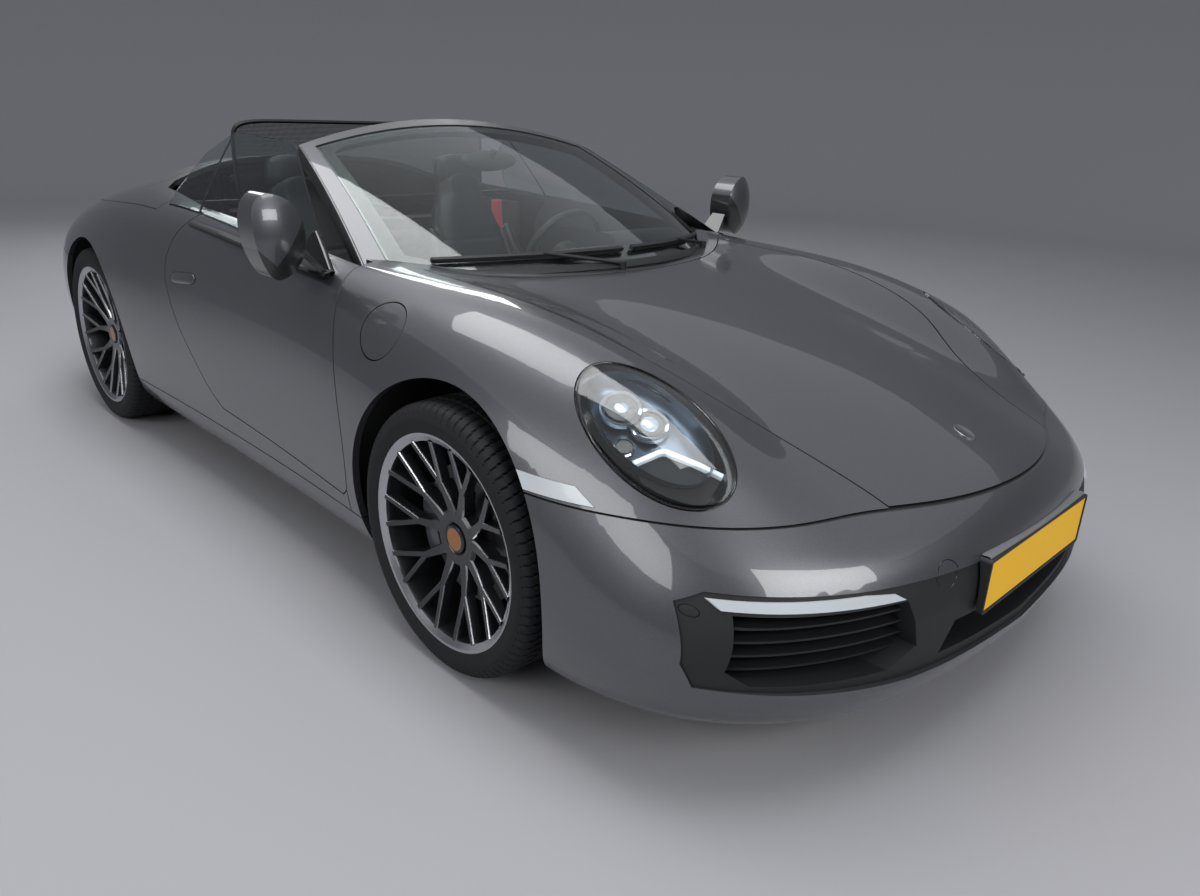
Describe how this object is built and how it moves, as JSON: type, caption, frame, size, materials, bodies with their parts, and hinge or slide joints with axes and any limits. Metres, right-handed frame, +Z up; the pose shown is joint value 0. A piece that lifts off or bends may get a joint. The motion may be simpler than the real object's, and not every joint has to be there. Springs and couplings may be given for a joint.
{
  "type": "convertible car",
  "caption": "Grey two-door convertible with the roof folded away, rear engine, wide rear wings, oval headlamps and dark forked-spoke wheels.",
  "frame": {"origin": "On the ground at the middle of the bounding box, so halfway between nose and tail and between the sides.", "axes": "+X forwards to the nose, +Y to the left side, +Z up"},
  "size_m": [4.5307, 2.0226, 1.2582],
  "materials": {
    "paint": "gloss",
    "black_trim": "satin",
    "interior": "matte",
    "leather": "satin",
    "glass": "gloss",
    "lamp": "gloss",
    "plate": "gloss",
    "red_lens": "gloss",
    "carpet": "matte",
    "structure": "satin",
    "cast": "matte",
    "disc": "satin",
    "alloy": "satin",
    "tyre": "matte",
    "exhaust_steel": "satin",
    "netting": "matte"
  },
  "bodies": {
    "body": {"arch_liners": "black_trim", "cabin_tub": "carpet", "centre_console": "interior", "cowl": "paint", "dashboard": "interior", "deck_rim": "black_trim", "driver_controls": "interior", "engine": "cast", "exhaust": "exhaust_steel", "front_body": "structure", "front_bumper": "paint", "front_subframe": "structure", "front_wings": "paint", "headlamp_lenses": "glass", "headlamps": "lamp", "intake_grilles": "black_trim", "interior_mirror": "interior", "marker_lamps": "lamp", "number_plate": "plate", "plate_holder": "black_trim", "quarter_glass": "glass", "rear_body": "structure", "rear_bumper": "paint", "rear_quarters": "paint", "rear_seats": "leather", "rear_suspension": "structure", "seat_left": "leather", "seat_right": "leather", "sills": "paint", "tail_lamp": "red_lens", "wind_deflector": "netting", "windscreen": "glass", "windscreen_frame": "black_trim", "wipers": "black_trim"},
    "door_right": {"door_right": "paint", "door_glass_right": "glass", "mirror_right": "paint"},
    "door_left": {"door_left": "paint", "door_glass_left": "glass", "mirror_left": "paint"},
    "bonnet": {"bonnet": "paint"},
    "top_cover": {"top_cover": "paint"},
    "engine_lid": {"engine_lid": "paint"},
    "filler_flap": {"filler_flap": "paint"},
    "knuckle_right": {"knuckle_front_right": "cast"},
    "knuckle_left": {"knuckle_front_left": "cast"},
    "wheel_front_right": {"rim_front_right": "alloy", "tyre_front_right": "tyre", "brake_disc_front_right": "disc"},
    "wheel_front_left": {"rim_front_left": "alloy", "tyre_front_left": "tyre", "brake_disc_front_left": "disc"},
    "wheel_rear_right": {"rim_rear_right": "alloy", "tyre_rear_right": "tyre", "brake_disc_rear_right": "disc"},
    "wheel_rear_left": {"rim_rear_left": "alloy", "tyre_rear_left": "tyre", "brake_disc_rear_left": "disc"},
    "steering_wheel": {"steering_wheel": "interior"}
  },
  "joints": [
    {"name": "steer_left", "type": "hinge", "parent": "body", "child": "knuckle_left", "pos_m": [1.2544, 0.715, 0.19], "axis": [0, -0.204, 0.979], "range_deg": [-35, 35]},
    {"name": "steer_right", "type": "hinge", "parent": "body", "child": "knuckle_right", "pos_m": [1.2544, -0.715, 0.19], "axis": [0, 0.204, 0.979], "range_deg": [-35, 35]},
    {"name": "steering_wheel_turn", "type": "hinge", "parent": "body", "child": "steering_wheel", "pos_m": [0.25, 0.365, 0.785], "axis": [-0.9135, 0, 0.4067], "range_deg": [-460, 460]},
    {"name": "spin_front_right", "type": "hinge", "parent": "knuckle_right", "child": "wheel_front_right", "pos_m": [1.2544, -0.7945, 0.3395], "axis": [0, 1, 0], "continuous": true},
    {"name": "spin_front_left", "type": "hinge", "parent": "knuckle_left", "child": "wheel_front_left", "pos_m": [1.2544, 0.7945, 0.3395], "axis": [0, 1, 0], "continuous": true},
    {"name": "spin_rear_right", "type": "hinge", "parent": "body", "child": "wheel_rear_right", "pos_m": [-1.1956, -0.765, 0.358], "axis": [0, 1, 0], "continuous": true},
    {"name": "spin_rear_left", "type": "hinge", "parent": "body", "child": "wheel_rear_left", "pos_m": [-1.1956, 0.765, 0.358], "axis": [0, 1, 0], "continuous": true},
    {"name": "door_right_hinge", "type": "hinge", "parent": "body", "child": "door_right", "pos_m": [0.8204, -0.914, 0.6], "axis": [0, 0, 1], "range_deg": [0, 60]},
    {"name": "door_left_hinge", "type": "hinge", "parent": "body", "child": "door_left", "pos_m": [0.8204, 0.914, 0.6], "axis": [0, 0, -1], "range_deg": [0, 60]},
    {"name": "bonnet_hinge", "type": "hinge", "parent": "body", "child": "bonnet", "pos_m": [0.7974, 0, 0.891], "axis": [0, -1, 0], "range_deg": [0, 65]},
    {"name": "top_cover_hinge", "type": "hinge", "parent": "body", "child": "top_cover", "pos_m": [-1.5036, 0, 1.008], "axis": [0, -1, 0], "range_deg": [0, 50]},
    {"name": "engine_lid_hinge", "type": "hinge", "parent": "body", "child": "engine_lid", "pos_m": [-1.5176, 0, 1.008], "axis": [0, 1, 0], "range_deg": [0, 60]},
    {"name": "filler_flap_hinge", "type": "hinge", "parent": "body", "child": "filler_flap", "pos_m": [1.03178, -0.85359, 0.78808], "axis": [0, 0.5453, 0.8382], "range_deg": [0, 60]}
  ],
  "couplings": [
    {"joint": "steer_right", "follows": "steer_left", "ratio": 1},
    {"joint": "steering_wheel_turn", "follows": "steer_left", "ratio": 13}
  ]
}
